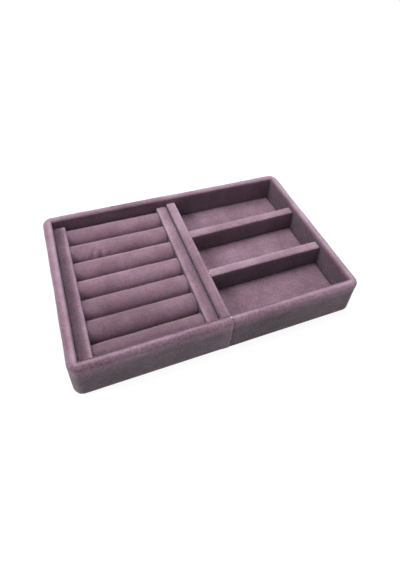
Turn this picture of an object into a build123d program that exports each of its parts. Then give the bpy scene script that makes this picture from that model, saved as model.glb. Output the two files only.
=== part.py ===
"""Velvet jewelry tray: a padded case with three compartments and a lift-out insert of ring rolls.

Millimetres. X runs along the long side, Y from front to back, Z up.
The origin is the centre of the underside, on the surface that the tray rests on.
"""

import os

from build123d import *

# Tray case
tray_length = 240
tray_width = 160
tray_height = 35
corner_radius = 8
velvet_thickness = 1.25
wall_board_thickness = 5
rim_outer_radius = 3
rim_inner_radius = 2
hem_radius = 0.8
base_board_thickness = 3
bottom_cover_thickness = 1
bottom_cover_margin = 0.6

# Dividers, glued to the base board and covered in velvet
divider_height = 26
divider_edge_radius = 1.4
divider_end_radius = 2
centre_board_thickness = 6.2
cross_board_thickness = 5.7
compartment_names = ["front", "middle", "back"]
cross_divider_names = ["front_divider", "back_divider"]

# Floor pads of the compartments
pad_card_thickness = 1.5
pad_foam_thickness = 3.75
pad_clearance = 0.4
pad_corner_radius = 3.5
pad_edge_radius = 2

# Ring insert
insert_clearance = 0.8
insert_card_thickness = 2
rail_board_thickness = 7.3
rail_height = 22
rail_edge_radius = 1.4
rail_end_radius = 2.2
roll_count = 7
roll_height = 21.2
roll_crown_rise = 10.5
roll_end_radius = 1
roll_end_gap = 0.4

# Shared by all cuts and edges
cut_overrun = 2
round_limit_share = 0.45

# Worked out from the sizes above
wall_thickness = wall_board_thickness + 2 * velvet_thickness
inner_length = tray_length - 2 * wall_thickness
inner_width = tray_width - 2 * wall_thickness
base_top = bottom_cover_thickness + base_board_thickness
centre_thickness = centre_board_thickness + 2 * velvet_thickness
cross_thickness = cross_board_thickness + 2 * velvet_thickness
compartment_count = len(compartment_names)
compartment_length = (inner_length - centre_thickness) / 2
compartment_width = (inner_width - (compartment_count - 1) * cross_thickness) / compartment_count
compartment_centre_x = (centre_thickness + compartment_length) / 2
insert_length = compartment_length - 2 * insert_clearance
insert_width = inner_width - 2 * insert_clearance
insert_top = base_top + insert_card_thickness
rail_thickness = rail_board_thickness + 2 * velvet_thickness
roll_length = insert_length - 2 * (rail_thickness + roll_end_gap)
roll_width = insert_width / roll_count


def block(length, width, bottom, top, centre_x=0, centre_y=0, upright_radius=0):
    """A flat block from one level to another, with its upright corners rounded."""
    if upright_radius > 0:
        outline = RectangleRounded(length, width, upright_radius)
    else:
        outline = Rectangle(length, width)
    return extrude(Pos(centre_x, centre_y, bottom) * outline, amount=top - bottom)


def round_top(solid, radius):
    """The solid with the edges of its top face rounded."""
    if radius <= 0:
        return solid
    return fillet(solid.edges().group_by(Axis.Z)[-1], radius)


def limited(radius, size):
    """A rounding radius that a side of this size has room for."""
    return min(radius, round_limit_share * size)


def under_velvet(radius):
    """What is left of a finished radius on the board inside the velvet."""
    return max(radius - velvet_thickness, 0)


def on_outer_side(edge):
    """Whether an edge of the wall belongs to the outer outline of the case."""
    centre = edge.center()
    return abs(centre.X) > inner_length / 2 + velvet_thickness or abs(centre.Y) > inner_width / 2 + velvet_thickness


def wall_ring(inset, bottom, top):
    """The four walls in one ring, set in from the finished faces by a thickness of velvet or by nothing."""
    ring = block(tray_length - 2 * inset, tray_width - 2 * inset, bottom, top - inset,
                 upright_radius=corner_radius - inset)
    ring -= block(inner_length + 2 * inset, inner_width + 2 * inset, base_top, top + cut_overrun)
    outer_radius = limited(rim_outer_radius, wall_thickness) - inset
    inner_radius = limited(rim_inner_radius, wall_thickness) - inset
    if outer_radius > 0:
        top_edges = ring.edges().group_by(Axis.Z)[-1]
        ring = fillet(top_edges.filter_by(on_outer_side), outer_radius)
    if inner_radius > 0:
        top_edges = ring.edges().group_by(Axis.Z)[-1]
        inner_edges = [edge for edge in top_edges if not on_outer_side(edge)]
        ring = fillet(inner_edges, inner_radius)
    return ring


def base_board():
    """The stiff board that the walls, dividers and pads are glued to."""
    return block(tray_length - 2 * velvet_thickness, tray_width - 2 * velvet_thickness,
                 bottom_cover_thickness, base_top, upright_radius=corner_radius - velvet_thickness)


def bottom_cover():
    """The sheet glued over the underside and the turned-in edge of the velvet."""
    return block(tray_length - 2 * bottom_cover_margin, tray_width - 2 * bottom_cover_margin,
                 0, bottom_cover_thickness, upright_radius=corner_radius - bottom_cover_margin)


def wall_boards():
    """The four wall boards, mitred at the corners and stood on the base board."""
    ring = wall_ring(velvet_thickness, base_top, tray_height)
    half_length = tray_length / 2
    half_width = tray_width / 2
    mitre = half_width
    front_wedge = Polygon((-half_length, -half_width), (half_length, -half_width),
                          (half_length - mitre, 0), (mitre - half_length, 0), align=None)
    right_wedge = Polygon((half_length, -half_width), (half_length, half_width),
                          (half_length - mitre, 0), align=None)
    wedge_height = tray_height + cut_overrun
    front = ring & extrude(front_wedge, amount=wedge_height)
    right = ring & extrude(right_wedge, amount=wedge_height)
    return {
        "front_wall_board": front,
        "back_wall_board": mirror(front, Plane.XZ),
        "right_wall_board": right,
        "left_wall_board": mirror(right, Plane.YZ),
    }


def wall_velvet(boards):
    """One strip of velvet round the case: up the outside, over the rim and down to the floor inside."""
    velvet = wall_ring(0, bottom_cover_thickness, tray_height)
    hem_edges = velvet.edges().group_by(Axis.Z)[0]
    velvet = fillet(hem_edges, limited(hem_radius, velvet_thickness))
    velvet -= base_board()
    for board in boards.values():
        velvet -= board
    return velvet


def covered_board(name, length, width, bottom, top, centre_x, centre_y, edge_radius, end_radius):
    """A board on edge and the velvet sleeve round its sides, ends and top."""
    thickness = min(length, width)
    edge = limited(edge_radius, thickness)
    end = limited(end_radius, thickness)
    sleeve = block(length, width, bottom, top, centre_x, centre_y, upright_radius=end)
    sleeve = round_top(sleeve, min(edge, end))
    board = block(length - 2 * velvet_thickness, width - 2 * velvet_thickness, bottom, top - velvet_thickness,
                  centre_x, centre_y, upright_radius=under_velvet(end))
    return {name + "_board": board, name + "_velvet": sleeve - board}


def dividers():
    """The centre divider from front to back and the cross dividers between it and the right wall."""
    top = base_top + divider_height
    pieces = covered_board("centre_divider", centre_thickness, inner_width, base_top, top, 0, 0,
                           divider_edge_radius, divider_end_radius)
    for index, name in enumerate(cross_divider_names, start=1):
        centre_y = -inner_width / 2 + index * (compartment_width + cross_thickness) - cross_thickness / 2
        pieces |= covered_board(name, compartment_length, cross_thickness, base_top, top,
                                compartment_centre_x, centre_y, divider_edge_radius, divider_end_radius)
    return pieces


def floor_pads():
    """A card, a layer of foam and a velvet cover on the floor of each compartment."""
    length = compartment_length - 2 * pad_clearance
    width = compartment_width - 2 * pad_clearance
    card_top = base_top + pad_card_thickness
    foam_top = card_top + pad_foam_thickness
    foam_radius = under_velvet(pad_corner_radius)
    pieces = {}
    for index, name in enumerate(compartment_names):
        centre_y = (index - (compartment_count - 1) / 2) * (compartment_width + cross_thickness)
        place = (compartment_centre_x, centre_y)
        inner = (length - 2 * velvet_thickness, width - 2 * velvet_thickness)
        card = block(*inner, base_top, card_top, *place, upright_radius=foam_radius)
        foam = block(*inner, card_top, foam_top, *place, upright_radius=foam_radius)
        foam = round_top(foam, under_velvet(pad_edge_radius))
        cover = block(length, width, base_top, foam_top + velvet_thickness, *place,
                      upright_radius=pad_corner_radius)
        cover = round_top(cover, pad_edge_radius)
        pieces[name + "_pad_card"] = card
        pieces[name + "_pad_foam"] = foam
        pieces[name + "_pad_velvet"] = cover - card - foam
    return pieces


def roll_solid(inset, centre_y):
    """One ring roll: upright sides, a domed crown and rounded ends, set in by a thickness of velvet."""
    half_width = roll_width / 2 - inset
    crown = insert_top + roll_height - inset
    shoulder = insert_top + roll_height - roll_crown_rise
    rise = crown - shoulder
    outline = [
        EllipticalCenterArc((0, shoulder), half_width, rise, start_angle=0, arc_size=90),
        EllipticalCenterArc((0, shoulder), half_width, rise, start_angle=90, arc_size=90),
        Line((-half_width, shoulder), (-half_width, insert_top)),
        Line((-half_width, insert_top), (half_width, insert_top)),
        Line((half_width, insert_top), (half_width, shoulder)),
    ]
    start = -compartment_centre_x - roll_length / 2 + inset
    face = make_face(outline)
    roll = extrude(Plane((start, centre_y, 0), x_dir=(0, 1, 0), z_dir=(1, 0, 0)) * face,
                   amount=roll_length - 2 * inset)
    radius = limited(roll_end_radius, roll_crown_rise) - inset
    if radius <= 0:
        return roll
    end_faces = roll.faces().filter_by(Axis.X)
    end_edges = end_faces.edges().filter_by(lambda edge: edge.center().Z > insert_top + roll_height / 4)
    return fillet(end_edges, radius)


def ring_insert():
    """The card, the two side rails and the row of ring rolls that lift out together."""
    centre_x = -compartment_centre_x
    card = block(insert_length, insert_width, base_top, insert_top, centre_x, 0)
    pieces = {"insert_card": card}
    rail_offset = (insert_length - rail_thickness) / 2
    for name, side in (("left_rail", -1), ("right_rail", 1)):
        pieces |= covered_board(name, rail_thickness, insert_width, insert_top, insert_top + rail_height,
                                centre_x + side * rail_offset, 0, rail_edge_radius, rail_end_radius)
    for index in range(roll_count):
        centre_y = insert_width / 2 - (index + 0.5) * roll_width
        foam = roll_solid(velvet_thickness, centre_y)
        cover = roll_solid(0, centre_y) - foam
        pieces[f"roll_{index + 1}_foam"] = foam
        pieces[f"roll_{index + 1}_velvet"] = cover
    return pieces


def jewelry_tray():
    """Every piece of the tray by name."""
    boards = wall_boards()
    pieces = {"bottom_cover": bottom_cover(), "base_board": base_board()}
    pieces |= boards
    pieces["wall_velvet"] = wall_velvet(boards)
    pieces |= dividers()
    pieces |= floor_pads()
    pieces |= ring_insert()
    return pieces


os.makedirs("parts", exist_ok=True)
for piece_name, piece in jewelry_tray().items():
    export_step(piece, f"parts/{piece_name}.step")
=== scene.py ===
"""Velvet jewelry tray: the covers, padding, felt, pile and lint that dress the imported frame.

The frame is in metres: X along the long side, Y from front to back, Z up from the table.
Shapes are worked out here in millimetres and turned into metres when a piece is made.
"""

import math
from types import SimpleNamespace

import bmesh
import bpy
import numpy as np
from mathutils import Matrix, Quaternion, Vector


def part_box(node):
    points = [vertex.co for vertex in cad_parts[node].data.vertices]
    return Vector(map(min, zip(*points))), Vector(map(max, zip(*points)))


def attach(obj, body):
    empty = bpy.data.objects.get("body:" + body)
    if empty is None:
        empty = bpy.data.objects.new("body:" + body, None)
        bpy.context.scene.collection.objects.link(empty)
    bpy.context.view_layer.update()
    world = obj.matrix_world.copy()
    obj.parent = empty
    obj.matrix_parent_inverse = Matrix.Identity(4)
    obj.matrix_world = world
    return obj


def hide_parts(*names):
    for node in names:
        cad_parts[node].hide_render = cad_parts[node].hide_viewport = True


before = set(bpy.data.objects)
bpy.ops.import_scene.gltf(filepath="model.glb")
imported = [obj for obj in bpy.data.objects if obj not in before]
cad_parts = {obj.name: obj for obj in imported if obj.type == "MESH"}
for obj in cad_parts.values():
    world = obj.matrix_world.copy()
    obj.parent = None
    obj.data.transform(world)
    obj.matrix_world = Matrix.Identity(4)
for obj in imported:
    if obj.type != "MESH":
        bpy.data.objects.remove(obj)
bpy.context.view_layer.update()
mm = 0.001

# Velvet, as it is wrapped round the boards, in millimetres
velvet_thickness = 1.25
least_over_board = 0.3
cloth_spacing = 1.5
rim_outer_radius = 3.0
rim_inner_radius = 1.3
hem_level = 1.0
hem_radius = 0.8
hem_fold = 0.45
hem_rise = 0.02
clear_of_board = 0.02
corner_radius = 8.0
corner_steps = 10
back_bulge = 0.5
right_tuck = 0.3

# Seam in the front wall, where the left end of the strip laps over the right one
seam_heights = [1.0, 14.4, 25.5, 35.0]
seam_places = [0.8, 1.8, 1.7, 2.1]
seam_place = 1.7
hidden_end = 6.0
lap_lift = 0.5
lapped_thickness = 0.58
pressed_depth = 0.62

# Dividers and rails, and how far the cross dividers stand from true at their left and right ends
board_cloth_spacing = 1.3
divider_rounding = 1.1
rail_rounding = 1.3
divider_crown = 0.1
rail_crown = 0.3
divider_ends = [0, 112.5]
front_divider_zone = [-51, -31, -20, 0]
front_divider_shift = [0.65, 1.5]
back_divider_zone = [0, 20, 31, 51]
back_divider_shift = [-1.5, 0.9]

# Rolls: how far they stand from even spacing, at places from front to back, and how high each one lies
roll_count = 7
crest_behind_middle = 5.5
hollow_behind_middle = 7.5
hollow_level = 23.5
lowest_pile = 20
roll_crown_rise = 10.5
roll_end_radius = 0.7
roll_spacing = 2.3
roll_end_press = 0.3
uneven_places = [-72.5, -71.7, -61.5, -57.0, -51.2, -30.7, -10.2, 10.2, 30.7, 51.2, 71.7, 72.5]
uneven_shifts = [-0.5, -0.6, -1.8, -2.0, -1.6, -0.8, -1.0, -1.1, -0.4, 0.5, 0.6, 0.5]
roll_levels = [0.0, -0.1, -0.25, 0.0, -0.2, -0.15, -0.7]

# Creases at the left end of the second roll: start, end, width and depth
roll_creases = [
    ((-80.3, 38.4), (-84.3, 30.2), 1.5, 0.60),
    ((-74.1, 36.2), (-76.6, 29.8), 1.4, 0.55),
    ((-78.0, 43.0), (-78.5, 38.6), 1.0, 0.30),
    ((-76.9, 38.4), (-77.2, 35.4), 1.0, 0.28),
    ((-65.7, 35.2), (-68.3, 30.0), 1.6, 0.25),
]

# Floor pads: how far the walls and dividers press them, and how far each is pressed up at its back
pad_press = np.array([0.3, 0.3, 0])
pad_rounding = 0.9
pad_corner_zone = 2.2
pad_spacing = 2.2
back_press = {"front_pad": 0.0, "middle_pad": 0.1, "back_pad": 0.5}

# Filling of rolls and pads, and how far past its box in the CAD each may swell
roll_room = np.array([9, -0.02, 0])
roll_headroom = np.array([0, 0, 0.1])
pad_headroom = np.array([0, 0, 0.3])
pad_drop_before_filling = np.array([0, 0, 0.5])
slack_before_filling = 0.45
glued_height = 0.6
most_swelling = 0.55
filling_pressure = 4.0
filling_frames = 20

# Felt under the base, and loose pile
felt_rounding = 0.35
felt_spacing = 3.0
felt_corner_zone = 7.0
fibres_per_square_metre = 1.6e6

# Nap with painted light and shade, from 0 for dark to 1 for light: across the rim from outside to inside
rim_places = [0.0, 1.0, 2.5, 3.5, 4.5, 5.5, 6.5, 7.5]
rim_nap_and_light = {
    "front": [0.44, 0.43, 0.43, 0.56, 0.77, 0.80, 0.24, 0.12],
    "right": [0.75, 0.80, 0.82, 0.84, 0.84, 0.72, 0.48, 0.28],
    "back": [0.68, 0.72, 0.70, 0.66, 0.52, 0.36, 0.28, 0.24],
    "left": [0.46, 0.44, 0.49, 0.58, 0.72, 0.79, 0.76, 0.62],
}
ash_rim = {"front": 0.0, "right": 0.95, "back": 0.58, "left": 0.66}
mottle_places = [0, 2.5, 3.5, 5.0, 6.0, 7.5]
mottle_rim = [0.9, 1.05, 0.95, 0.7, 0.5, 0.35]

# Nap with painted shade on the inner and outer faces of the walls, and along the front wall by the distance
# from the seam
painted_inside_shade = {"front": 0.20, "right": 0.10, "back": 0.30, "left": 0.20}
outside_nap_and_shade = 0.17
# Lighter towards the top of the outer faces
upper_outer_lightening = 0.14
right_of_seam_places = [0, 13, 38, 58, 88, 112]
right_of_seam_nap_and_shade = [0.065, 0.055, 0.060, 0.075, 0.095, 0.120]
left_of_seam_places = [0, 20, 40, 70, 112]
left_of_seam_nap_and_shade = [0.185, 0.160, 0.14, 0.125, 0.145]

# Nap with painted light and shade across dividers and rails from their left or front edge to the other one,
# and on the padding: painted highlights on the roll crests and painted shade in the hollows between rolls
nap_places = [-1.0, -0.75, -0.3, 0.3, 0.75, 1.0]
roll_nap_and_light = [0.50, 0.515, 0.50, 0.53, 0.455, 0.385, 0.355]
painted_crest_highlights = [0.06, 0.20, 0.35, 0.38, 0.10, 0.06, 0.08]
painted_hollow_shade = [0.16, 0.16, 0.16, 0.16, 0.15, 0.10, 0.04]
painted_right_end_light = [0.0, -0.03, 0.08, 0.0, 0.14, 0.05, 0.08]
pad_nap_and_light = {"front_pad": 0.48, "middle_pad": 0.52, "back_pad": 0.55}

# Specks of lint and glue: place and size
lint_spots = [
    ((3.95, -25.8, 30.3), 0.75), ((4.7, -24.2, 30.2), 0.42), ((2.35, -75.1, 35.3), 0.80),
    ((3.3, -76.1, 35.2), 0.45), ((-12.0, -75.0, 35.1), 0.30), ((-7.0, -74.7, 35.1), 0.26),
    ((-20.0, 12.0, 27.0), 0.16), ((40.0, 5.0, 10.7), 0.16), ((88.0, -58.0, 10.7), 0.14),
]


# Numbers and small shapes

def space(node):
    """The lowest and highest corner of a CAD node, in millimetres."""
    low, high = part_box(node)
    return np.array(low) / mm, np.array(high) / mm


def ease(value, low, high):
    """A smooth change from 0 to 1 as the value goes from low to high."""
    share = np.clip((np.asarray(value, float) - low) / (high - low), 0, 1)
    return share * share * (3 - 2 * share)


def ripple(points, size, seed):
    """A smooth random height of about -1 to 1 at each point, in waves of about this size."""
    chance = np.random.default_rng(seed)
    total = np.zeros(len(points))
    for _ in range(12):
        way = chance.normal(size=3)
        way /= np.linalg.norm(way)
        wave = size * chance.uniform(0.7, 1.7)
        total += np.sin(points @ way * (2 * math.pi / wave) + chance.uniform(0, 2 * math.pi))
    return total / 4


def quarter_turn(centre, radius, start, end, steps):
    """Points on an arc, and the way outwards at each, as rows of two numbers."""
    angles = np.radians(np.linspace(start, end, steps + 1))
    ways = np.stack([np.cos(angles), np.sin(angles)], axis=1)
    return np.array(centre) + radius * ways, ways


def ring_faces(first, second):
    """The faces between two closed rings, from the numbers of their points."""
    return list(zip(first, first[1:] + first[:1], second[1:] + second[:1], second))


def tube_faces(stations, around):
    """The faces of a tube whose points come ring by ring."""
    rings = np.arange(stations * around).reshape(stations, around).tolist()
    faces = []
    for first, second in zip(rings, rings[1:]):
        faces.extend(ring_faces(first, second))
    return faces


def add_object(name, data, place=(0, 0, 0), look=None, roll=0.0):
    """An object in the scene. A camera or light looks along a way and is rolled by some degrees."""
    made = bpy.data.objects.new(name, data)
    bpy.context.scene.collection.objects.link(made)
    made.location = place
    if look is not None:
        made.rotation_mode = "QUATERNION"
        turned = Vector(look).to_track_quat("-Z", "Y")
        made.rotation_quaternion = turned @ Quaternion((0, 0, 1), math.radians(roll))
    return made


def set_marks(mesh, marks):
    """Writes marks on a mesh's points."""
    for mark, values in marks.items():
        layer = mesh.attributes.new(mark, "FLOAT", "POINT")
        layer.data.foreach_set("value", np.asarray(values, np.float32))


def add_piece(name, points, faces, material, marks=None):
    """A smooth mesh object with its place in its mesh, its faces outwards, and its marks on its points."""
    mesh = bpy.data.meshes.new(name)
    mesh.from_pydata((np.asarray(points) * mm).tolist(), [], faces)
    builder = bmesh.new()
    builder.from_mesh(mesh)
    bmesh.ops.recalc_face_normals(builder, faces=builder.faces)
    builder.to_mesh(mesh)
    builder.free()
    set_marks(mesh, marks or {})
    mesh.shade_smooth()
    mesh.materials.append(material)
    return add_object(name, mesh)


def read_points(piece, what="co"):
    """The places of a piece's points in metres, or their ways outwards, as rows of three numbers."""
    values = np.zeros(len(piece.data.vertices) * 3)
    piece.data.vertices.foreach_get(what, values)
    return values.reshape(-1, 3)


def keep_modifiers(piece):
    """Turns a piece's modifiers into plain mesh."""
    graph = bpy.context.evaluated_depsgraph_get()
    made = bpy.data.meshes.new_from_object(piece.evaluated_get(graph))
    piece.modifiers.clear()
    piece.data = made


def thicken(piece, thickness):
    """Gives a piece of cloth its thickness, inwards."""
    wall = piece.modifiers.new("cloth thickness", "SOLIDIFY")
    wall.thickness = thickness * mm
    wall.offset = -1
    wall.use_even_offset = False
    keep_modifiers(piece)


def refine(piece):
    """One level of subdivision, kept as plain mesh."""
    finer = piece.modifiers.new("finer", "SUBSURF")
    finer.levels = 1
    finer.render_levels = 1
    keep_modifiers(piece)


# Finishes

def add_node(tree, kind, settings=None, inputs=None):
    """One node with its settings, and its sockets set or joined."""
    node = tree.nodes.new(kind)
    for key, value in (settings or {}).items():
        setattr(node, key, value)
    for key, value in (inputs or {}).items():
        socket = node.inputs[key]
        if isinstance(value, bpy.types.NodeSocket):
            tree.links.new(value, socket)
        else:
            socket.default_value = value
    return node


def start_finish(name, roughness, specular, sheen=0.0, sheen_roughness=0.5, sheen_tint=(1, 1, 1, 1)):
    """A new material with its shader, and the place on the piece that its patterns read."""
    finish = bpy.data.materials.new(name)
    finish.use_nodes = True
    tree = finish.node_tree
    shader = tree.nodes["Principled BSDF"]
    for socket, value in (("Roughness", roughness), ("Specular IOR Level", specular),
                          ("Sheen Weight", sheen), ("Sheen Roughness", sheen_roughness),
                          ("Sheen Tint", sheen_tint)):
        shader.inputs[socket].default_value = value
    place = add_node(tree, "ShaderNodeTexCoord").outputs["Object"]
    return finish, tree, shader, place


def speckle(tree, place, per_metre, detail=2.0, roughness=0.5):
    """Noise of so many waves in a metre, from about 0.25 to 0.75."""
    noise = add_node(tree, "ShaderNodeTexNoise", None,
                     {"Vector": place, "Scale": per_metre, "Detail": detail, "Roughness": roughness})
    return noise.outputs["Fac"]


def stretched(tree, place, scale):
    """The place, squeezed by a scale along each way, so that noise on it runs in fibres."""
    return add_node(tree, "ShaderNodeMapping", None, {"Vector": place, "Scale": scale}).outputs["Vector"]


def reckon(tree, operation, *values, clamp=False):
    """What an operation makes of some values."""
    node = add_node(tree, "ShaderNodeMath", {"operation": operation, "use_clamp": clamp},
                    dict(enumerate(values)))
    return node.outputs[0]


def plus(tree, first, second, times=1.0, less=0.0):
    """The first value, and the second one less a number, times a number."""
    return reckon(tree, "MULTIPLY_ADD", reckon(tree, "SUBTRACT", second, less), times, first)


def shades(tree, value, stops):
    """A colour for the value, from stops of a place and a colour."""
    ramp = add_node(tree, "ShaderNodeValToRGB", None, {"Fac": value})
    points = ramp.color_ramp.elements
    while len(points) < len(stops):
        points.new(0.5)
    for point, (place, colour) in zip(points, stops):
        point.position = place
        point.color = (*colour, 1)
    return ramp.outputs["Color"]


def paint(tree, shader, tone, stops):
    """Colours the shader by a tone, from stops of a place and a colour."""
    tree.links.new(shades(tree, tone, stops), shader.inputs["Base Color"])


def raised(tree, shader, height, depth, strength=1.0):
    """Relief of this depth in metres on the shader."""
    relief = add_node(tree, "ShaderNodeBump", None,
                      {"Height": height, "Distance": depth, "Strength": strength})
    tree.links.new(relief.outputs["Normal"], shader.inputs["Normal"])


def mix_colours(tree, share, first, second, way="MIX"):
    """Two colours mixed by a share, or the second one laid over the first in another way."""
    mixed = add_node(tree, "ShaderNodeMix", {"data_type": "RGBA", "clamp_factor": True, "blend_type": way},
                     {0: share, 6: first, 7: second})
    return mixed.outputs[2]


def mark_on_points(tree, mark):
    """The value of a mark that was put on a piece's points."""
    return add_node(tree, "ShaderNodeAttribute", {"attribute_name": mark}).outputs["Fac"]


def mauve_velvet():
    """Dusty mauve velvet: light and dark patches, a fine pile, a soft shine at the edges, and painted light
    and shade carried by the nap mark.
    """
    finish, tree, shader, place = start_finish("mauve velvet", 0.92, 0.12, 0.35, 0.45, (1.0, 0.86, 0.93, 1))
    patches = speckle(tree, place, 42)
    strokes = speckle(tree, place, 150, 2.0, 0.55)
    clumps = speckle(tree, place, 620, 2.0, 0.6)
    pile = speckle(tree, place, 1500, 3.0, 0.7)
    nap_and_painted_light = mark_on_points(tree, "nap_and_painted_light")
    patchy = reckon(tree, "MULTIPLY_ADD", nap_and_painted_light, 0.82, 0.13)
    mottled = reckon(tree, "MULTIPLY_ADD", mark_on_points(tree, "mottle"), 0.64, 0.3)
    tone = plus(tree, nap_and_painted_light, patches, patchy, 0.5)
    tone = plus(tree, tone, strokes, 0.14, 0.5)
    tone = plus(tree, tone, clumps, mottled, 0.5)
    tone = plus(tree, tone, pile, 0.52, 0.5)
    rosy = shades(tree, tone, [(0.0, (0.052, 0.030, 0.042)), (0.5, (0.23, 0.140, 0.186)),
                               (1.0, (0.43, 0.29, 0.365))])
    ashen = shades(tree, tone, [(0.0, (0.030, 0.0215, 0.0265)), (0.5, (0.215, 0.158, 0.196)),
                                (1.0, (0.42, 0.370, 0.408))])
    ash_mark = mark_on_points(tree, "ash")
    dyed = mix_colours(tree, plus(tree, ash_mark, patches, 0.5, 0.5), rosy, ashen)

    # Warmer where the ash mark is below zero, and painted deep shade, mixed towards near black, where the nap
    # mark is below zero
    warmer = reckon(tree, "MINIMUM", ash_mark, 0.0)
    hue = plus(tree, speckle(tree, place, 75, 1.0), warmer, 0.6)
    tint = shades(tree, hue, [(0.25, (1.03, 0.98, 0.955)), (0.5, (1.0, 1.0, 1.0)),
                              (0.75, (0.98, 1.0, 1.045))])
    tinted = mix_colours(tree, 1.0, dyed, tint, "MULTIPLY")
    shade = reckon(tree, "MULTIPLY", nap_and_painted_light, -1.0, clamp=True)
    colour = mix_colours(tree, shade, tinted, (0.008, 0.004, 0.006, 1))
    tree.links.new(colour, shader.inputs["Base Color"])
    raised(tree, shader, plus(tree, clumps, pile, 1.2, 0.5), 0.00035, 0.8)
    return finish


def pile_tips():
    """The loose tips of the pile, lighter than the velvet under them."""
    finish, tree, shader, place = start_finish("velvet pile", 0.9, 0.1, 0.5, 0.4, (1.0, 0.88, 0.94, 1))
    change = speckle(tree, place, 900, 1.0)
    paint(tree, shader, change, [(0.3, (0.26, 0.165, 0.215)), (0.7, (0.44, 0.31, 0.385))])
    return finish


def grey_board():
    """Pressed board: brownish, with flecks and short fibres."""
    finish, tree, shader, place = start_finish("pressed board", 0.85, 0.2)
    fibres = speckle(tree, stretched(tree, place, (1.0, 4.0, 9.0)), 160, 4.0, 0.7)
    flecks = speckle(tree, place, 900, 2.0, 0.6)
    tone = plus(tree, fibres, flecks, 0.6, 0.5)
    paint(tree, shader, tone, [(0.25, (0.19, 0.125, 0.075)), (0.5, (0.34, 0.235, 0.15)),
                               (0.75, (0.47, 0.35, 0.235))])
    raised(tree, shader, tone, 0.0002, 0.6)
    return finish


def thin_card():
    """Grey card with specks of recycled paper."""
    finish, tree, shader, place = start_finish("grey card", 0.8, 0.25)
    clouds = speckle(tree, place, 60, 3.0)
    specks = speckle(tree, place, 1300, 2.0, 0.7)
    tone = plus(tree, clouds, specks, 0.7, 0.5)
    paint(tree, shader, tone, [(0.25, (0.17, 0.155, 0.14)), (0.55, (0.27, 0.25, 0.225)),
                               (0.8, (0.38, 0.36, 0.33))])
    raised(tree, shader, specks, 0.0001, 0.5)
    return finish


def cream_foam():
    """Cream foam with open cells."""
    finish, tree, shader, place = start_finish("cream foam", 0.95, 0.1)
    cells = add_node(tree, "ShaderNodeTexVoronoi", {"feature": "F1"}, {"Vector": place, "Scale": 900})
    clouds = speckle(tree, place, 80, 2.0)
    tone = plus(tree, cells.outputs["Distance"], clouds, 0.4, 0.5)
    paint(tree, shader, tone, [(0.1, (0.42, 0.38, 0.29)), (0.4, (0.70, 0.67, 0.58)),
                               (0.9, (0.80, 0.78, 0.71))])
    raised(tree, shader, cells.outputs["Distance"], 0.0004, 0.8)
    return finish


def dark_felt():
    """Charcoal felt: matted fibres that run every way."""
    finish, tree, shader, place = start_finish("charcoal felt", 0.95, 0.1, 0.4, 0.5, (0.8, 0.78, 0.82, 1))
    matted = plus(tree, speckle(tree, stretched(tree, place, (1, 7, 1)), 160, 3.0, 0.7),
                  speckle(tree, stretched(tree, place, (7, 1, 1)), 160, 3.0, 0.7), 1.0, 0.5)
    clouds = plus(tree, matted, speckle(tree, place, 40, 2.0), 0.5, 0.5)
    paint(tree, shader, clouds, [(0.2, (0.012, 0.010, 0.013)), (0.55, (0.026, 0.021, 0.027)),
                                 (0.85, (0.062, 0.054, 0.064))])
    raised(tree, shader, matted, 0.0005, 0.8)
    return finish


def pale_lint():
    """Bits of lint and dried glue caught in the pile."""
    finish, tree, shader, place = start_finish("pale lint", 0.7, 0.3)
    change = speckle(tree, place, 1500, 1.0)
    paint(tree, shader, change, [(0.3, (0.52, 0.37, 0.45)), (0.7, (0.74, 0.58, 0.66))])
    return finish


def white_table():
    """The plain pale surface that the tray stands on."""
    finish, tree, shader, place = start_finish("white table", 0.9, 0.1)
    clouds = speckle(tree, place, 3, 2.0)
    paint(tree, shader, clouds, [(0.3, (0.20, 0.20, 0.20)), (0.7, (0.22, 0.22, 0.22))])
    shader.inputs["Emission Color"].default_value = (1, 1, 1, 1)
    shader.inputs["Emission Strength"].default_value = 0.89
    return finish


velvet = mauve_velvet()
pile_finish = pile_tips()
board_finish = grey_board()
card_finish = thin_card()
foam_finish = cream_foam()
felt_finish = dark_felt()
lint_finish = pale_lint()


# The strip of velvet round the walls

def wall_section(wall, height, inner_foot):
    """The strip's section, up outside, over the rim and down inside: its places and ways outwards."""
    hem, hem_ways = quarter_turn((hem_radius, hem_level + hem_radius), hem_radius, 270, 180, 3)
    outer, outer_ways = quarter_turn((rim_outer_radius, height - rim_outer_radius),
                                     rim_outer_radius, 180, 90, 9)
    inner, inner_ways = quarter_turn((wall - rim_inner_radius, height - rim_inner_radius),
                                     rim_inner_radius, 90, 0, 7)
    up = np.linspace(hem[-1, 1], outer[0, 1], 16)[1:-1]
    down = np.linspace(inner[-1, 1], inner_foot, 15)[1:]
    across = np.linspace(outer[-1, 0], inner[0, 0], 4)[1:-1]
    runs = [
        (hem, hem_ways),
        (np.stack([0 * up, up], axis=1), (-1.0, 0.0)),
        (outer, outer_ways),
        (np.stack([across, 0 * across + height], axis=1), (0.0, 1.0)),
        (inner, inner_ways),
        (np.stack([0 * down + wall, down], axis=1), (1.0, 0.0)),
    ]
    ways = [np.broadcast_to(way, places.shape) for places, way in runs]
    return np.concatenate([places for places, _ in runs]), np.concatenate(ways)


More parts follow.
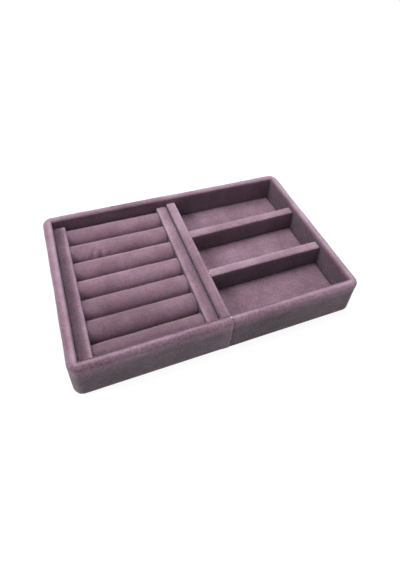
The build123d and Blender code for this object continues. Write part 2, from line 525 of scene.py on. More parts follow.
def wall_path(half_length, half_width):
    """Stations round the walls from under the lap to the seam: their centres, ways outwards and distances."""
    x = half_length - corner_radius
    y = half_width - corner_radius
    turns = np.array([(seam_place - hidden_end, -y), (x, -y), (x, y), (-x, y), (-x, -y), (seam_place, -y)])
    facing = np.array([(0.0, -1.0), (1.0, 0.0), (0.0, 1.0), (-1.0, 0.0), (0.0, -1.0)])
    centres = []
    ways = []
    for number, (start, end, way) in enumerate(zip(turns, turns[1:], facing)):
        count = int(math.ceil(np.linalg.norm(end - start) / cloth_spacing))
        for share in np.linspace(0, 1, count + 1):
            centres.append(start + (end - start) * share)
            ways.append(way)
        if number == len(facing) - 1:
            break
        turn = math.atan2(way[1], way[0])
        for step in range(1, corner_steps):
            angle = turn + step / corner_steps * math.pi / 2
            centres.append(end)
            ways.append(np.array([math.cos(angle), math.sin(angle)]))
    centres = np.array(centres)
    ways = np.array(ways)
    outline = centres + corner_radius * ways
    gone = np.concatenate([[0], np.cumsum(np.linalg.norm(np.diff(outline, axis=0), axis=1))])
    return centres, ways, gone


def plan_strip():
    """What the strip is worked out from: columns run round the walls, and rows run over the section."""
    low, high = space("wall_velvet")
    inner_low, _ = space("centre_divider_velvet")
    wall = inner_low[1] - low[1]
    section, section_ways = wall_section(wall, high[2], inner_low[2])
    centres, ways, gone = wall_path(high[0], high[1])
    facing = {"front": -ways[:, 1:], "right": ways[:, :1], "back": ways[:, 1:], "left": -ways[:, :1]}
    sides = {side: np.clip(share, 0, 1) ** 2 for side, share in facing.items()}
    return SimpleNamespace(
        wall=wall, foot=inner_low[2], top=high[2], section=section, section_ways=section_ways,
        across=section[None, :, 0], level=section[None, :, 1], centres=centres, ways=ways, gone=gone,
        past_seam=(gone - hidden_end)[:, None], before_seam=(gone[-1] - gone)[:, None],
        along=(centres[:, 0] + corner_radius * ways[:, 0])[:, None], sides=sides,
        shape=(len(centres), len(section)))


def even_skin(strip):
    """The skin of the strip before it is worn in, its upper end cut along the seam, and its ways outwards."""
    radial = corner_radius - strip.across[:, :, None]
    flat = strip.centres[:, None, :] + radial * strip.ways[:, None, :]
    levels = np.broadcast_to(strip.level, strip.shape)
    skin = np.concatenate([flat, levels[:, :, None]], axis=2)
    rising = np.broadcast_to(strip.section_ways[None, :, 1:2], (*strip.shape, 1))
    outwards = np.concatenate([-strip.section_ways[None, :, 0:1] * strip.ways[:, None, :], rising], axis=2)
    seam_line = np.interp(strip.level, seam_heights, seam_places) - seam_place
    fray = np.random.default_rng(5).normal(0, 0.10, strip.shape[1])
    skin[:, :, 0] += (1 - ease(strip.before_seam, 0, 9)) * (seam_line + fray)
    return skin, outwards


def standing_off(strip, spots):
    """How far the strip stands off its even skin: waves, the bulge and tuck of two walls, and the lap."""
    wave = 0.13 * ripple(spots, 42, 11) + 0.06 * ripple(spots, 13, 12) + 0.03 * ripple(spots, 5, 13)
    on_rim = ease(strip.level, strip.top - 6, strip.top - 1)
    wave = wave.reshape(strip.shape) + on_rim * 0.05 * ripple(spots, 3.4, 14).reshape(strip.shape)
    settled = ease(strip.level, strip.foot + 0.5, strip.foot + 5) * (strip.across > strip.wall - 0.1)
    loose = np.maximum(np.where(strip.across < 1, ease(strip.level, 1.5, 6), settled), on_rim)
    near_lap = ease(-np.minimum(np.abs(strip.past_seam), strip.before_seam), -12, -2)
    wave = wave * loose * (1 - near_lap)
    bulge = back_bulge * strip.sides["back"] * (1 - ease(strip.along, -40, 30))
    bulge = (bulge - right_tuck * strip.sides["right"]) * (1 - ease(strip.across, 1.5, 5)) * loose
    lift = lap_lift * (1 - ease(strip.before_seam, 0, 14))
    sink = pressed_depth * (1 - ease(strip.past_seam, -0.2, 3.2))
    return wave + bulge + lift - sink


def wall_marks(strip, spots):
    """Marks for the finish: the nap mark with painted light and shade, how ashen and mottled it is, how much
    pile stands up.
    """
    sides = strip.sides
    across = strip.across
    level = strip.level
    outside = across < 1
    inside = across > strip.wall - 1
    height = level + 1.2 * ripple(spots, 17, 21).reshape(strip.shape)

    # Nap across the rim with painted light and shade, and painted light towards the right at the back and
    # front and towards the back at the left
    rim = sum(sides[side] * np.interp(across, rim_places, rim_nap_and_light[side]) for side in sides)
    rim = rim + 0.22 * sides["back"] * ease(strip.along, -30, 50) * ease(across, 1, 5)
    rim = rim + 0.0017 * sides["front"] * strip.along + 0.0009 * sides["left"] * strip.centres[:, 1:]

    # Nap down the outer and inner faces, with painted shade on both, darker towards the bottom outside and
    # lighter towards the top
    right_part = np.interp(strip.past_seam, right_of_seam_places, right_of_seam_nap_and_shade)
    left_part = np.interp(strip.before_seam, left_of_seam_places, left_of_seam_nap_and_shade)
    front_nap_and_shade = np.where(strip.gone[:, None] < strip.gone[-1] / 2, right_part, left_part)
    side_nap_and_shade = sides["front"] * front_nap_and_shade + (1 - sides["front"]) * outside_nap_and_shade
    outer_face = side_nap_and_shade - 0.025 * (1 - ease(level, 4, 18)) + upper_outer_lightening * ease(height, 23, 30)
    onto_rim = ease(level, 31, 33.5)
    outer_face = outer_face + (rim - outer_face) * onto_rim
    painted_inner_shade = sum(sides[side] * painted_inside_shade[side] for side in sides)
    inner_face = painted_inner_shade + (rim - painted_inner_shade) * ease(level, 31, 34)
    nap_and_painted_light = np.where(outside, outer_face, np.where(inside, inner_face, rim))

    # A light edge along the seam, a line of painted shade right of it, and less contrast left of it
    upper = 0.4 + 0.6 * ease(level, 24, 27)
    off_ridge = 1 - ease(across, 3.6, 4.6)
    near_seam = 1 - ease(strip.before_seam, 2, 20)
    left_of_seam = 1 - ease(strip.before_seam, 8, 34)
    nap_and_painted_light = nap_and_painted_light + 0.26 * (1 - ease(strip.before_seam, 0.0, 1.2)) * upper
    nap_and_painted_light = nap_and_painted_light - 0.07 * (1 - ease(np.abs(strip.past_seam - 0.9), 0.0, 1.1)) * upper * off_ridge
    nap_and_painted_light = nap_and_painted_light - 0.17 * left_of_seam * (1 - off_ridge) * (1 - inside)
    nap_and_painted_light = nap_and_painted_light + 0.07 * left_of_seam * off_ridge * ease(level, 24, 28)

    ash_low = 1 - ease(height, 22, 31) - 0.25 * near_seam + 0.35 * left_of_seam * ease(level, 24, 28)
    ash_top = sum(sides[side] * ash_rim[side] for side in sides) * (1 - ease(across, 0.5, 3.0))
    ash_top = np.maximum(ash_top, 0.55 * sides["right"] * (1 - ease(across, 4.0, 7.0)))
    ash = np.where(outside, np.maximum(ash_low, ash_top * onto_rim), np.maximum(ash_top, 0.05))

    coarse = 0.4 + 0.3 * sides["front"]
    on_top = coarse * np.interp(across, mottle_places, mottle_rim)
    mottle = np.where(outside, 0.8 * coarse * ease(height, 23, 30), np.where(inside, 0.2, on_top))
    mottle = np.maximum(mottle, ease(level, 32, 34) * on_top)

    fuzz = np.where(level > strip.top - 3.2, 0.6, 0.2)
    fuzz = np.where(across > 5, np.minimum(fuzz, 0.25), fuzz)
    fuzz = np.where((level < strip.foot + 6) & inside, 0, fuzz)

    marks = {}
    for mark, values in (("nap_and_painted_light", nap_and_painted_light), ("ash", ash), ("mottle", mottle), ("fuzz", fuzz)):
        values = np.broadcast_to(values, strip.shape)
        underneath = np.zeros(strip.shape) if mark == "fuzz" else values[:, ::-1]
        marks[mark] = np.concatenate([values, underneath], axis=1).reshape(-1)
    return marks


def make_wall_cover():
    """One strip of velvet up the outside, over the rim and down inside, its ends lapped at the seam."""
    strip = plan_strip()
    skin, outwards = even_skin(strip)
    spots = skin.reshape(-1, 3)
    outer_skin = skin + outwards * standing_off(strip, spots)[:, :, None]
    thin = lapped_thickness + (velvet_thickness - lapped_thickness) * ease(strip.before_seam, 7, 10)
    inner_skin = skin - outwards * thin[:, :, None]
    in_hem = (strip.section[:, 0] < 1) & (strip.section[:, 1] < hem_level + hem_radius)
    for index in np.where(in_hem)[0]:
        depth, level = strip.section[index]
        inner_skin[:, index, :2] = strip.centres + (corner_radius - depth - hem_fold) * strip.ways
        inner_skin[:, index, 2] = level + hem_rise * index
    stations, count = strip.shape
    around = 2 * count
    points = np.concatenate([outer_skin, inner_skin[:, ::-1]], axis=1).reshape(-1, 3)
    faces = tube_faces(stations, around)
    for station in (0, stations - 1):
        for index in range(count - 1):
            first = station * around + index
            last = station * around + around - 1 - index
            faces.append((first, first + 1, last - 1, last))
    piece = add_piece("wall_cover", points, faces, velvet, wall_marks(strip, spots))
    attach(piece, "tray")
    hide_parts("wall_velvet")
    return piece


# Blocks of cloth over boards, and pads

def side_stations(low, high, rounding, spacing, round_low=True):
    """Places along one side of a block, close together at its rounded edges."""
    turn = rounding * (1 - np.tan(np.radians(np.linspace(45, 0, 5))))
    start = low + rounding if round_low else low
    end = high - rounding
    middle = np.linspace(start, end, max(2, int(math.ceil((end - start) / spacing)) + 1))
    parts = [middle, high - turn]
    if round_low:
        parts.append(low + turn)
    return np.unique(np.round(np.concatenate(parts), 5))


def block_skin(low, high, rounding, spacing, floor=False):
    """The skin of a block with rounded top and upright edges: points, faces and ways outwards."""
    along = [
        side_stations(low[0], high[0], rounding, spacing),
        side_stations(low[1], high[1], rounding, spacing),
        side_stations(low[2], high[2], rounding, spacing, round_low=False),
    ]
    last = [len(stations) - 1 for stations in along]
    numbers = {}
    corners = []
    faces = []

    def add_face(*keys):
        for key in keys:
            if key not in numbers:
                numbers[key] = len(corners)
                corners.append([along[axis][key[axis]] for axis in range(3)])
        faces.append(tuple(numbers[key] for key in keys))

    for k in range(last[2]):
        for i in range(last[0]):
            for j in (0, last[1]):
                add_face((i, j, k), (i + 1, j, k), (i + 1, j, k + 1), (i, j, k + 1))
        for j in range(last[1]):
            for i in (0, last[0]):
                add_face((i, j, k), (i, j + 1, k), (i, j + 1, k + 1), (i, j, k + 1))
    levels = [last[2], 0] if floor else [last[2]]
    for k in levels:
        for i in range(last[0]):
            for j in range(last[1]):
                add_face((i, j, k), (i + 1, j, k), (i + 1, j + 1, k), (i, j + 1, k))
    corners = np.array(corners)
    core_low = np.array([low[0] + rounding, low[1] + rounding, -1e6])
    core_high = np.array([high[0] - rounding, high[1] - rounding, high[2] - rounding])
    core = np.clip(corners, core_low, core_high)
    beyond = corners - core
    ways = beyond / np.maximum(np.linalg.norm(beyond, axis=1), 1e-9)[:, None]
    return core + np.abs(beyond).max(axis=1)[:, None] * ways, faces, ways


def round_corners(points, low, high, zone):
    """Rounds the upright corners of a block's skin, seen from above."""
    middle = (low[:2] + high[:2]) / 2
    reach = (high[:2] - low[:2]) / 2 - zone
    away = points[:, :2] - middle
    core = np.clip(away, -reach, reach)
    beyond = away - core
    distance = np.maximum(np.linalg.norm(beyond, axis=1), 1e-9)
    both = np.abs(beyond).min(axis=1) > 1e-6
    squeeze = np.where(both, np.abs(beyond).max(axis=1) / distance, 1.0)
    points[:, :2] = middle + core + beyond * squeeze[:, None]


def settle_by_dividers(points):
    """Moves points near the two cross dividers with them, since both stand a little out of true."""
    x = points[:, 0]
    y = points[:, 1]
    shares = [0, 1, 1, 0]
    front = np.interp(y, front_divider_zone, shares) * np.interp(x, divider_ends, front_divider_shift)
    back = np.interp(y, back_divider_zone, shares) * np.interp(x, divider_ends, back_divider_shift)
    moved = points.copy()
    moved[:, 1] += front + back
    return moved


def shade_behind_rolls(y):
    """How near places along a rail are to the hollows just behind the crests of the rolls, where painted
    shade goes.
    """
    low, high = space("roll_1_velvet")
    pitch = high[1] - low[1]
    hollow = (low[1] + high[1]) / 2 + hollow_behind_middle
    away = np.abs((y - hollow + pitch / 2) % pitch - pitch / 2)
    return 1 - ease(away, 2.8, 5.8)


def cover_board(name, seed, ride_on, length_way, rounding, crown, widen, top_light_and_shade, painted_light_along, painted_side_shade):
    """The velvet sleeve of one board on edge, with its crown, slight waves and thickness."""
    low, high = space(name + "_velvet")
    across = 1 - length_way
    low[across] -= widen[0]
    high[across] += widen[1]
    points, faces, ways = block_skin(low, high, rounding, board_cloth_spacing)
    middle = (low[across] + high[across]) / 2
    off_middle = (points[:, across] - middle) / ((high[across] - low[across]) / 2)
    along = (points[:, length_way] - low[length_way]) / (high[length_way] - low[length_way])
    near_top = ease(points[:, 2], high[2] - 4, high[2])
    points[:, 2] -= crown * off_middle ** 2 * near_top
    wave = 0.07 * ripple(points, 30, seed) + 0.04 * ripple(points, 9, seed + 1)
    wave = wave + 0.08 * ripple(points, 2.8, seed + 2) * near_top
    ends = np.minimum(points[:, length_way] - low[length_way], high[length_way] - points[:, length_way])
    free = ease(points[:, 2], low[2] + 1, low[2] + 5) * ease(ends, 0.2, 3)
    points = points + ways * (wave * free)[:, None]
    if name in ("front_divider", "back_divider"):
        points = settle_by_dividers(points)
        most_inwards = velvet_thickness - least_over_board
        front_face = off_middle < -0.9
        back_face = off_middle > 0.9
        points[front_face, 1] = np.minimum(points[front_face, 1], low[1] + most_inwards)
        points[back_face, 1] = np.maximum(points[back_face, 1], high[1] - most_inwards)

    # Marks: painted light and shade on the top by its place across and along it, and painted shade on the
    # sides, deep lower down and fading out near the top
    upward = ease(ways[:, 2], 0.1, 0.85)
    fading = 1 - ease(points[:, 2], high[2] - 2.2, high[2] - 0.9)
    top_nap_and_light = np.interp(off_middle, nap_places, top_light_and_shade) + np.interp(along, [0, 1], painted_light_along)
    side_nap_and_shade = np.interp(off_middle, [-1, 1], painted_side_shade) + 0.10 * ease(points[:, 2], high[2] - 6, high[2] - 1)
    side_nap_and_shade = np.maximum(side_nap_and_shade, 0.05) + np.minimum(side_nap_and_shade, 0) * fading
    # Painted shade on the right rail's left face, in the hollows just behind the roll crests
    if name == "right_rail":
        side_nap_and_shade = side_nap_and_shade - 0.85 * shade_behind_rolls(points[:, 1]) * fading * (off_middle < -0.9)
    nap_and_painted_light = side_nap_and_shade + (top_nap_and_light - side_nap_and_shade) * upward
    edge = 4 * upward * (1 - upward)
    marks = {
        "nap_and_painted_light": nap_and_painted_light,
        "ash": np.full(len(points), 0.05),
        "mottle": (0.15 + 0.5 * upward + 0.55 * edge) * (0.2 + 0.9 * np.clip(nap_and_painted_light, 0, 1)),
        "fuzz": np.where(points[:, 2] < high[2] - 6, 0, 0.1 + 0.5 * upward),
    }
    piece = add_piece(name + "_cover", points, faces, velvet, marks)
    thicken(piece, velvet_thickness - clear_of_board)
    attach(piece, ride_on)
    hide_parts(name + "_velvet")
    return piece


def make_underside():
    """The felt glued under the base, a little uneven, over the turned-in velvet."""
    low, high = space("bottom_cover")
    points, faces, _ = block_skin(low, high, felt_rounding, felt_spacing, floor=True)
    round_corners(points, low, high, felt_corner_zone)
    below = points[:, 2] < low[2] + 0.01
    points[:, 2] += np.where(below, 0.08 + 0.04 * ripple(points, 30, 61), 0)
    piece = add_piece("underside_felt_sheet", points, faces, felt_finish)
    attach(piece, "tray")
    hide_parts("bottom_cover")


# Rolls and floor pads, filled by cloth simulation

def pad_shape(low, high):
    """The closed skin of one floor pad before it is filled, its corners rounded in plan."""
    points, faces, _ = block_skin(low, high, pad_rounding, pad_spacing, floor=True)
    round_corners(points, low, high, pad_corner_zone)
    return points, faces


def roll_shape(low, high, slack):
    """The closed skin of one ring roll: flat below, upright sides, a domed crown and rounded ends."""
    centre = (low[1] + high[1]) / 2
    half = (high[1] - low[1]) / 2 - slack
    rise = roll_crown_rise - slack
    shoulder = high[2] - roll_crown_rise
    left = low[0] + slack
    right = high[0] - slack
    turn = roll_end_radius * (1 - np.sin(np.radians(np.linspace(0, 90, 5))))[::-1]
    middle = np.linspace(left + roll_end_radius, right - roll_end_radius,
                         int(math.ceil((right - left) / roll_spacing)) + 1)
    places = np.concatenate([left + turn, middle[1:-1], (right - turn)[::-1]])
    rings = []
    for place in places:
        to_end = min(place - left, right - place)
        near = max(roll_end_radius - to_end, 0)
        inset = roll_end_radius - math.sqrt(max(roll_end_radius ** 2 - near ** 2, 0))
        angles = np.radians(np.linspace(0, 180, 21))
        dome_y = (half - inset) * np.cos(angles)
        dome_z = shoulder + (rise - inset) * np.sin(angles)
        sides = np.linspace(shoulder, low[2], 7)[1:]
        below = np.linspace(-(half - inset), half - inset, 8)[1:-1]
        ring_y = np.concatenate([dome_y, np.full(6, -(half - inset)), below, np.full(6, half - inset)])
        ring_z = np.concatenate([dome_z, sides, np.full(6, low[2]), sides[::-1]])
        rings.append(np.stack([np.full(len(ring_y), place), centre + ring_y, ring_z], axis=1))
    around = len(rings[0])
    faces = tube_faces(len(rings), around)
    points = list(np.concatenate(rings))
    for end in (0, len(rings) - 1):
        ring = rings[end]
        heart = np.array([ring[0, 0], centre, (low[2] + high[2]) / 2])
        outer = list(range(end * around, (end + 1) * around))
        for share in (0.75, 0.5, 0.25):
            inner = list(range(len(points), len(points) + around))
            points.extend(heart + (ring - heart) * share)
            faces.extend(ring_faces(outer, inner))
            outer = inner
        faces.extend((one, other, len(points)) for one, other in zip(outer, outer[1:] + outer[:1]))
        points.append(heart)
    return np.array(points), faces


def fill_padding(shapes):
    """Blows up all padded skins together as cloth with glued undersides, and caps how far they go."""
    all_faces = []
    glued = []
    start = 0
    for points, faces, floor in shapes:
        all_faces.extend(tuple(corner + start for corner in face) for face in faces)
        glued.extend((start + np.where(points[:, 2] < floor + glued_height)[0]).tolist())
        start += len(points)
    joined = np.concatenate([points for points, _, _ in shapes])
    skins = add_piece("padding before filling", joined, all_faces, velvet)
    group = skins.vertex_groups.new(name="glued down")
    group.add(glued, 1.0, "REPLACE")
    cloth = skins.modifiers.new("filling", "CLOTH")
    cloth.settings.quality = 6
    cloth.settings.use_pressure = True
    cloth.settings.uniform_pressure_force = filling_pressure
    cloth.settings.vertex_group_mass = "glued down"
    cloth.settings.effector_weights.gravity = 0
    cloth.collision_settings.use_collision = False
    cloth.point_cache.frame_start = 1
    cloth.point_cache.frame_end = filling_frames
    scene = bpy.context.scene
    for number in range(1, filling_frames + 1):
        scene.frame_set(number)
    graph = bpy.context.evaluated_depsgraph_get()
    filled = skins.evaluated_get(graph).to_mesh()
    places = np.zeros(len(joined) * 3)
    filled.vertices.foreach_get("co", places)
    moved = places.reshape(-1, 3) / mm - joined
    far = np.maximum(np.linalg.norm(moved, axis=1), 1e-9)
    moved *= (np.minimum(far, most_swelling) / far)[:, None]
    scene.frame_set(1)
    mesh = skins.data
    bpy.data.objects.remove(skins)
    bpy.data.meshes.remove(mesh)
    starts = np.cumsum([len(points) for points, _, _ in shapes])[:-1]
    return np.split(joined + moved, starts)


def crease(points, ways, start, end, width, depth):
    """A crease pressed in along a line, seen from above, with a soft fold beside it."""
    start = np.array(start, float)
    end = np.array(end, float)
    line = end - start
    share = np.clip((points[:, :2] - start) @ line / (line @ line), 0, 1)
    away = points[:, :2] - (start + share[:, None] * line)
    distance = np.linalg.norm(away, axis=1)
    taper = np.clip(np.minimum(share, 1 - share) * 4, 0, 1)
    groove = -depth * np.exp(-(distance / width) ** 2)
    fold = 0.55 * depth * np.exp(-((distance - 2.0 * width) / width) ** 2)
    return points + ways * ((groove + fold) * taper)[:, None]


def settle_roll(points, number):
    """Moves a roll's points to where it was set by hand: a little out of even spacing, and low or high."""
    low, high = space(f"roll_{number}_velvet")
    moved = points.copy()
    moved[:, 2] += roll_levels[number - 1] * ease(points[:, 2], low[2] + 4, high[2] - 2)
    moved[:, 1] += np.interp(points[:, 1], uneven_places, uneven_shifts)
    return moved


def place_roll(points, low, high, number):
    """A filled roll in its place: between its neighbours, its ends pressed flat by the rails."""
    points = np.clip(points, low - roll_room, high + roll_room + roll_headroom)
    centre = (low[0] + high[0]) / 2
    half = (high[0] - low[0]) / 2
    reach = half + roll_end_press
    away = (points[:, 0] - centre) * reach / (half - slack_before_filling)
    points[:, 0] = centre + np.clip(away, -reach, reach)
    return settle_roll(points, number)


def place_pad(points, low, high, name):
    """A filled pad in its place: between the walls and dividers, and pressed up at its back."""
    points = np.clip(points, low - pad_press, high + pad_press + pad_headroom)
    at_back = ease(points[:, 1], high[1] - 7, high[1] - 1) * ease(points[:, 2], low[2] + 3, high[2] - 1)
    points[:, 1:] += (back_press[name] * at_back)[:, None]
    return settle_by_dividers(points)


def roll_marks(points, centre, index, pressed):
    """Marks of a roll: a painted highlight on its crest, painted shade in front, in the hollows, at the ends
    and in creases, and painted light towards its right end.
    """
    # Painted highlight on the crest; painted shade on the front side, near both ends, at the right tip
    # against the rail, in the hollows and in crease grooves; painted light on folds and towards the right end
    crest = np.exp(-((points[:, 1] - (centre[1] + crest_behind_middle)) / 1.7) ** 2)
    along = points[:, 0] - centre[0]
    nap_and_painted_light = roll_nap_and_light[index] + painted_crest_highlights[index] * crest - 0.02 * ease(centre[1] - points[:, 1], 1, 8)
    nap_and_painted_light = nap_and_painted_light + 0.0006 * along - 0.08 * ease(np.abs(along), 36, 43)
    nap_and_painted_light = nap_and_painted_light + painted_right_end_light[index] * ease(along, 28, 41) - 0.35 * ease(along, 42.7, 43.4)
    nap_and_painted_light = nap_and_painted_light - painted_hollow_shade[index] * ease(hollow_level - points[:, 2], 0, 7) + 0.13 * pressed
    return {"nap_and_painted_light": nap_and_painted_light, "ash": np.full(len(points), -0.18), "mottle": 0.15 + 0.3 * crest,
            "fuzz": np.where(points[:, 2] > lowest_pile, 0.35 + 0.65 * crest, 0)}


def pad_marks(points, ways, name):
    """Marks of a floor pad: painted light on top, painted shade on its sides, and painted light at its left
    end where the centre divider's shadow falls.
    """
    up = ease(ways[:, 2], 0.4, 0.95)
    # Painted light on the top, painted shade on the sides, and painted light at the left end against the
    # centre divider's shadow
    nap_and_painted_light = pad_nap_and_light[name] - 0.10 * (1 - up) + 0.04 * (1 - ease(points[:, 0], 8, 30))
    even = np.ones(len(points))
    return {"nap_and_painted_light": nap_and_painted_light, "ash": 0 * even, "mottle": 0.45 * even, "fuzz": 0.22 * up}


def foam_core(name, points, faces, ride_on, number):
    """The foam inside a padded cover: the same form, smaller by the velvet, and moved with a roll's cover."""
    low, high = space(name + "_foam")
    share = (points - points.min(axis=0)) / (points.max(axis=0) - points.min(axis=0))
    inner = low + share * (high - low)
    if name.startswith("roll"):
        inner = settle_roll(inner, number)
    core = add_piece(name + "_core", inner, faces, foam_finish)
    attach(core, ride_on)
    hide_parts(name + "_foam")


def make_padding():
    """The seven rolls and three floor pads, filled together, with their covers and foam."""
    names = [f"roll_{number}" for number in range(1, roll_count + 1)]
    names += [part + "_pad" for part in ("front", "middle", "back")]
    shapes = []
    for name in names:
        low, high = space(name + "_velvet")
        if name.startswith("roll"):
            points, faces = roll_shape(low, high, slack_before_filling)
        else:
            points, faces = pad_shape(low - pad_press, high + pad_press - pad_drop_before_filling)
        shapes.append((points, faces, low[2]))
    filled = fill_padding(shapes)
    covers = []
    for index, name in enumerate(names):
        low, high = space(name + "_velvet")
        unfilled, faces, _ = shapes[index]
        is_roll = name.startswith("roll")
        if is_roll:
            points = place_roll(filled[index], low, high, index + 1)
        else:
            points = place_pad(filled[index], low, high, name)
        piece = add_piece(name + "_cover", points, faces, velvet)
        refine(piece)
        smooth = read_points(piece) / mm
        ways = read_points(piece, "normal")
        wave = 0.10 * ripple(smooth, 24, 100 + index) + 0.04 * ripple(smooth, 7, 200 + index)
        points = smooth + ways * (wave * ease(smooth[:, 2], low[2] + 1, low[2] + 5))[:, None]
        pressed = 0
        if name == "roll_2":
            for line in roll_creases:
                points = crease(points, ways, *line)
            pressed = ((smooth - points) * ways).sum(axis=1)
        piece.data.vertices.foreach_set("co", (points * mm).reshape(-1))
        piece.data.update()
        if is_roll:
            marks = roll_marks(points, (low + high) / 2, index, pressed)
        else:
            marks = pad_marks(points, read_points(piece, "normal"), name)
        set_marks(piece.data, marks)
        ride_on = "ring_insert" if is_roll else "tray"
        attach(piece, ride_on)
        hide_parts(name + "_velvet")
        covers.append(piece)
        foam_core(name, unfilled, faces, ride_on, index + 1)
    return covers


# Loose pile, made by Geometry Nodes on the velvet

def pile_tree(finish):
    """Geometry Nodes that stand short tapered fibres on velvet, more where its fuzz mark is high."""
    tree = bpy.data.node_groups.new("pile on velvet", "GeometryNodeTree")
    tree.is_modifier = True
    face = tree.interface
    face.new_socket("Velvet", in_out="INPUT", socket_type="NodeSocketGeometry")
    for label, kind, value in (("Fibres per square metre", "NodeSocketFloat", 1.0e6),
                               ("Fibre length", "NodeSocketFloat", 0.0008),
                               ("Fibre thickness", "NodeSocketFloat", 0.00007),
                               ("Lean", "NodeSocketFloat", 0.6),
                               ("Seed", "NodeSocketInt", 1)):
        face.new_socket(label, in_out="INPUT", socket_type=kind).default_value = value
    face.new_socket("Fibres", in_out="OUTPUT", socket_type="NodeSocketGeometry")
    given = add_node(tree, "NodeGroupInput").outputs
    fuzz = add_node(tree, "GeometryNodeInputNamedAttribute", {"data_type": "FLOAT"}, {"Name": "fuzz"})
    density = reckon(tree, "MULTIPLY", fuzz.outputs["Attribute"], given["Fibres per square metre"])
    spread = add_node(tree, "GeometryNodeDistributePointsOnFaces", {"distribute_method": "RANDOM"},
                      {"Mesh": given["Velvet"], "Density": density, "Seed": given["Seed"]})
    shaft = add_node(tree, "GeometryNodeMeshCone", None,
                     {"Vertices": 3, "Side Segments": 1, "Fill Segments": 1, "Radius Top": 0.0,
                      "Radius Bottom": given["Fibre thickness"], "Depth": given["Fibre length"]})
    tilt = add_node(tree, "FunctionNodeRandomValue", {"data_type": "FLOAT_VECTOR"},
                    {"Min": (-1.0, -1.0, -0.4), "Max": (1.0, 1.0, 1.0), "Seed": given["Seed"]})
    leaning = add_node(tree, "ShaderNodeVectorMath", {"operation": "SCALE"},
                       {0: tilt.outputs[0], "Scale": given["Lean"]})
    way = add_node(tree, "ShaderNodeVectorMath", {"operation": "ADD"},
                   {0: spread.outputs["Normal"], 1: leaning.outputs[0]})
    turned = add_node(tree, "FunctionNodeAlignRotationToVector", {"axis": "Z"}, {"Vector": way.outputs[0]})
    sizes = add_node(tree, "FunctionNodeRandomValue", {"data_type": "FLOAT"},
                     {"Min": 0.5, "Max": 1.15, "Seed": given["Seed"]})
    stand = add_node(tree, "GeometryNodeInstanceOnPoints", None,
                     {"Points": spread.outputs["Points"], "Instance": shaft.outputs["Mesh"],
                      "Rotation": turned.outputs["Rotation"], "Scale": sizes.outputs[1]})
    real = add_node(tree, "GeometryNodeRealizeInstances", None, {"Geometry": stand.outputs["Instances"]})
    painted = add_node(tree, "GeometryNodeSetMaterial", None,
                       {"Geometry": real.outputs[0], "Material": finish})
    add_node(tree, "NodeGroupOutput", None, {"Fibres": painted.outputs[0]})
    return tree


def grow_pile(name, covers, tree, seed, ride_on):
    """The loose fibres on some covers, as one plain mesh."""
    builder = bmesh.new()
    for cover in covers:
        builder.from_mesh(cover.data)
    mesh = bpy.data.meshes.new(name)
    builder.to_mesh(mesh)
    builder.free()
    pile = add_object(name, mesh)
    growing = pile.modifiers.new("pile", "NODES")
    growing.node_group = tree
    chosen = {"Fibres per square metre": fibres_per_square_metre, "Seed": seed}
    for item in tree.interface.items_tree:
        if item.name in chosen:
            growing[item.identifier] = chosen[item.name]
    keep_modifiers(pile)
    pile.data.shade_smooth()
    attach(pile, ride_on)


def make_lint():
    """Specks of lint and glue: one where the front divider meets the centre one, and a few in the pile."""
    chance = np.random.default_rng(77)
    points = []
    faces = []
    for place, size in lint_spots:
        ball = bmesh.new()
        bmesh.ops.create_icosphere(ball, subdivisions=2, radius=1.0)
        start = len(points)
        shape = np.array([tuple(vertex.co) for vertex in ball.verts])
        shape *= (1 + 0.35 * ripple(shape, 1.3, int(chance.integers(1, 999))))[:, None]
        shape *= np.array([size * 1.2, size * 0.9, size * 0.6])
        points.extend((shape + np.array(place)).tolist())
        faces.extend(tuple(start + vertex.index for vertex in face.verts) for face in ball.faces)
        ball.free()
    piece = add_piece("lint_specks", np.array(points), faces, lint_finish)
    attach(piece, "tray")


def dress_hidden_boards():
    """Finishes for the boards and cards that come from the CAD model."""
    for name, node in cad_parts.items():
        if name.endswith("_board"):
            finish = board_finish
        elif name.endswith("_card"):
            finish = card_finish
        else:
            continue
        node.data.materials.clear()
        node.data.materials.append(finish)


# Camera, light and floor

def add_camera():
    """The camera at the photograph's viewing angle."""
    data = bpy.data.cameras.new("camera")
    data.sensor_width = 36
    data.lens = 26.785
    data.shift_x = -0.0224
    data.shift_y = -0.0995
    data.clip_start = 0.01
    data.clip_end = 30
    camera = add_object("camera", data, (-0.0965, -0.2361, 0.3065), (0.309, 0.6535, -0.691), 5.21)
    bpy.context.scene.camera = camera


def add_softbox(name, place, target, width, height, watts, colour):
    """A soft rectangular light that points at a target."""
    data = bpy.data.lights.new(name, "AREA")
    data.shape = "RECTANGLE"
    data.size = width
    data.size_y = height
    data.energy = watts
    data.color = colour
    add_object(name, data, place, Vector(target) - Vector(place))


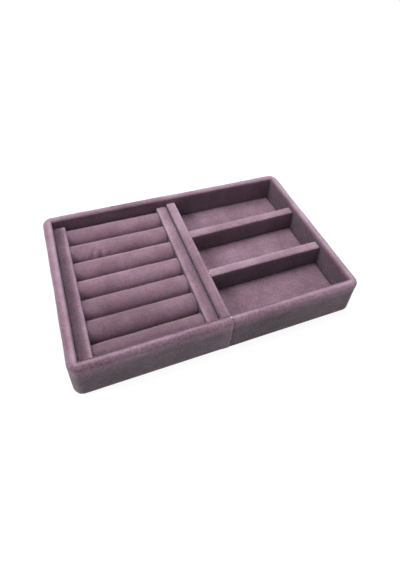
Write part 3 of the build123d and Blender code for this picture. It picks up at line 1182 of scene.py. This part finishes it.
def add_studio():
    """Plain soft light from the left and above, a faint fill all round, and a white table."""
    add_softbox("key from the left", (-1.05, 0.12, 0.95), (0, 0, 0.02), 0.32, 0.44, 11.6, (1.0, 0.98, 0.97))
    add_softbox("overhead", (0.0, 0.35, 1.0), (0, 0, 0), 0.5, 0.5, 7.0, (1.0, 0.99, 1.0))
    world = bpy.data.worlds.new("studio")
    world.use_nodes = True
    world.node_tree.nodes["Background"].inputs["Color"].default_value = (0.95, 0.97, 1.0, 1)
    world.node_tree.nodes["Background"].inputs["Strength"].default_value = 0.47
    bpy.context.scene.world = world
    bpy.context.scene.view_settings.view_transform = "Standard"
    bpy.context.scene.view_settings.look = "None"
    half = 9000
    table = add_piece("table", [(-half, -half, 0), (half, -half, 0), (half, half, 0), (-half, half, 0)],
                      [(0, 1, 2, 3)], white_table())


# Making the tray

add_camera()
add_studio()
wall_cover = make_wall_cover()
# The lists give painted light and shade across each top, painted light along it, and the sides' painted
# shade, deep where a side faces a narrow gap
divider_covers = [
    cover_board("centre_divider", 31, "tray", 1, divider_rounding, divider_crown, (0.1, 0.1),
                [0.32, 0.50, 0.63, 0.62, 0.82, 0.66], (-0.19, 0.17), (-0.45, 0.14)),
    cover_board("front_divider", 33, "tray", 0, divider_rounding, divider_crown, (0.0, 0.0),
                [0.46, 0.62, 0.74, 0.77, 0.97, 1.0], (0.0, 0.0), (0.15, 0.14)),
    cover_board("back_divider", 35, "tray", 0, divider_rounding, divider_crown, (0.1, 0.2),
                [0.52, 0.60, 0.66, 0.70, 0.80, 0.66], (0.0, 0.0), (0.24, 0.17)),
]
# The left rail's top is painted dark in the shadow of the left wall, with a painted highlight at its right
# edge
rail_covers = [
    cover_board("left_rail", 37, "ring_insert", 1, rail_rounding, rail_crown, (0.35, 0.15),
                [0.27, 0.28, 0.32, 0.40, 0.76, 0.90], (-0.02, 0.03), (0.20, 0.40)),
    cover_board("right_rail", 39, "ring_insert", 1, rail_rounding, rail_crown, (0.0, 0.4),
                [0.50, 0.76, 0.57, 0.50, 0.38, 0.22], (-0.07, 0.07), (0.06, -0.45)),
]
padding_covers = make_padding()
make_underside()
make_lint()
dress_hidden_boards()
fibres = pile_tree(pile_finish)
grow_pile("tray_pile", [wall_cover] + divider_covers + padding_covers[roll_count:], fibres, 1, "tray")
grow_pile("insert_pile", rail_covers + padding_covers[:roll_count], fibres, 2, "ring_insert")
